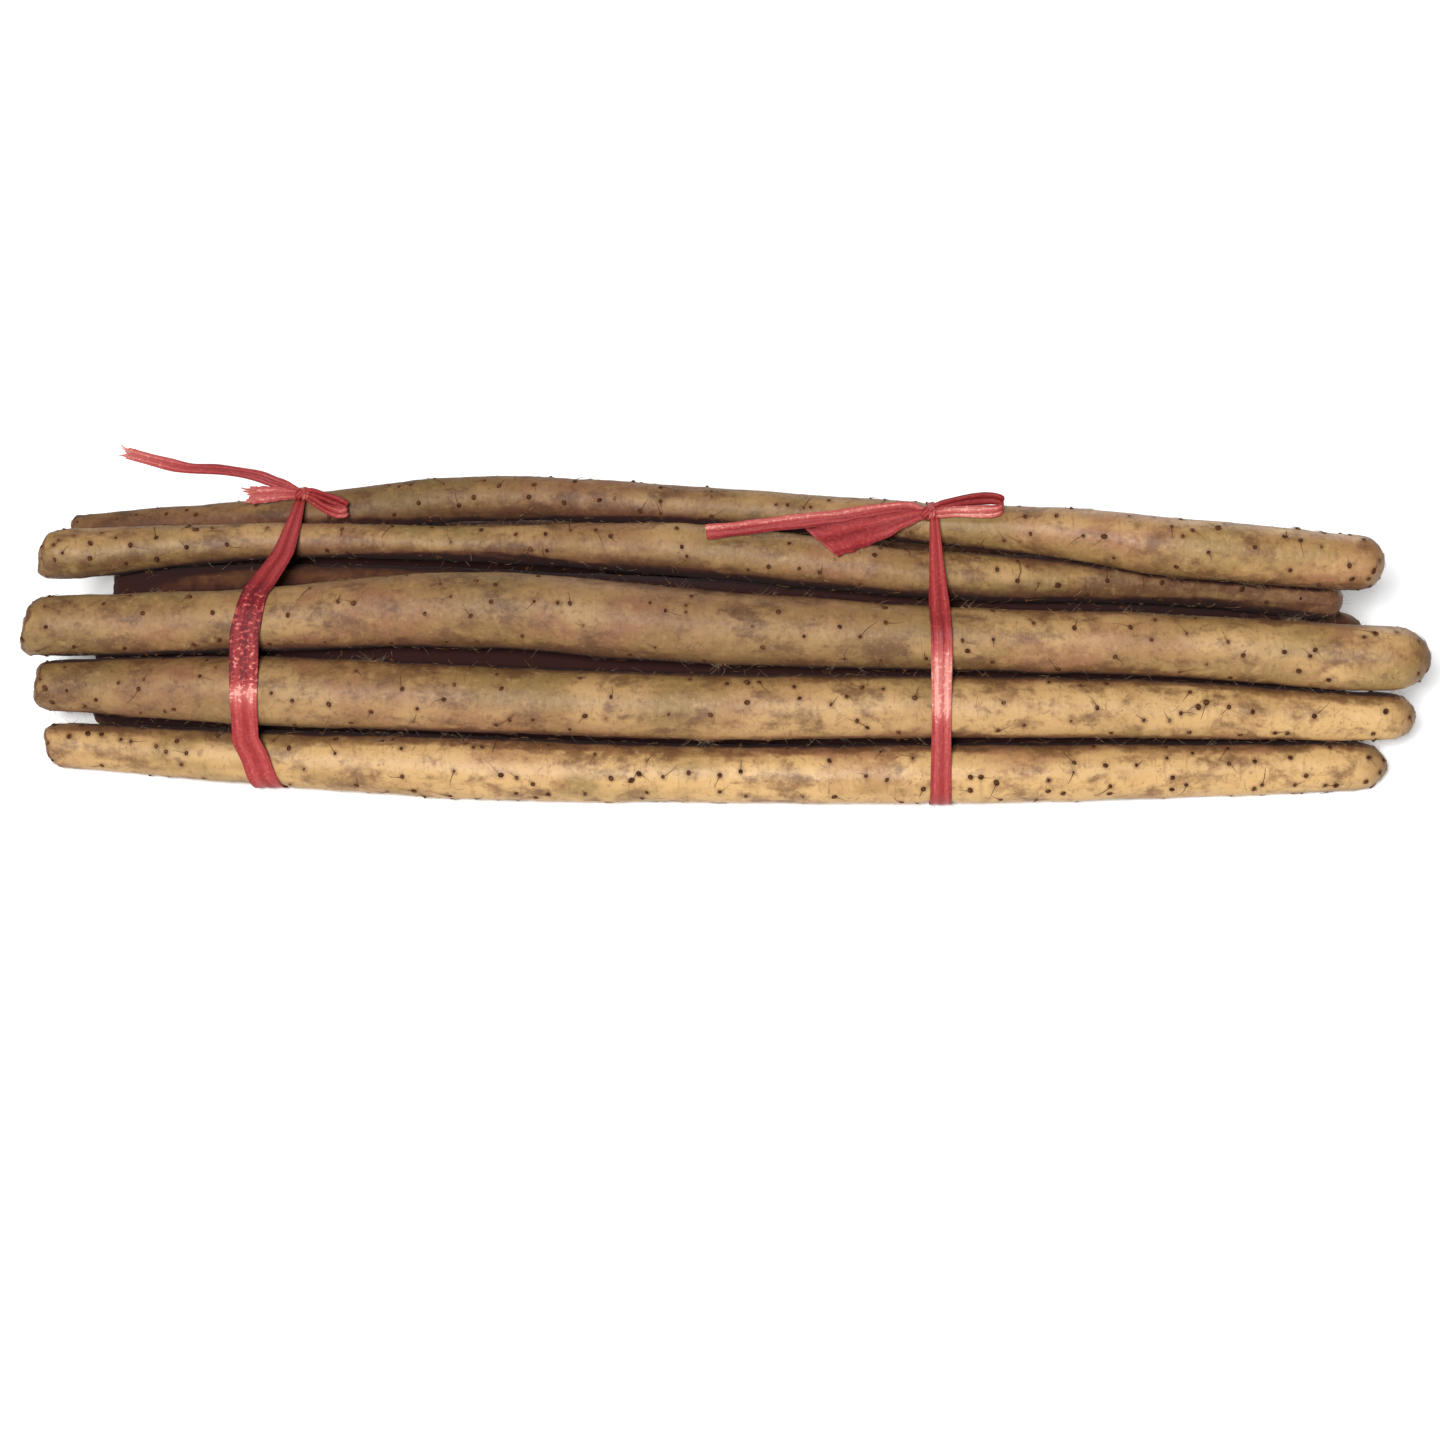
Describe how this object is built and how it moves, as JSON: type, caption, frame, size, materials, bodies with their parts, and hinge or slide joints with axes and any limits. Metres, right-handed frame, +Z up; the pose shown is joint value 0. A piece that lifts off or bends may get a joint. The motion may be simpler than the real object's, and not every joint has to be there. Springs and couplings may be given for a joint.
{
  "type": "bundle of chinese yams",
  "caption": "Bundle of long, slender Chinese yams with root scars and cut heads, lying on its side and held by plastic tapes tied in small bows",
  "frame": {"origin": "on the surface that the bundle lies on, under the middle of its box", "axes": "+X along the bundle from the cut heads to the rounded feet, -Y the front, +Z up"},
  "size_m": [0.4976, 0.114, 0.0837],
  "materials": {
    "yam_skin": "tan yellow-brown root skin, thin, slightly waxy, with dark brown root scars",
    "tape_film": "thin rose-red plastic strapping film, creased lengthwise, glossy"
  },
  "bodies": {
    "root": {"yam_front_low": "yam_skin", "yam_front_middle": "yam_skin", "yam_front_high": "yam_skin", "yam_top": "yam_skin", "yam_top_back": "yam_skin", "yam_inner_high": "yam_skin", "yam_inner_low": "yam_skin", "yam_floor_front": "yam_skin", "yam_floor_middle": "yam_skin", "yam_floor_back": "yam_skin", "yam_back": "yam_skin", "tie_left": "tape_film", "tie_right": "tape_film"}
  },
  "joints": []
}
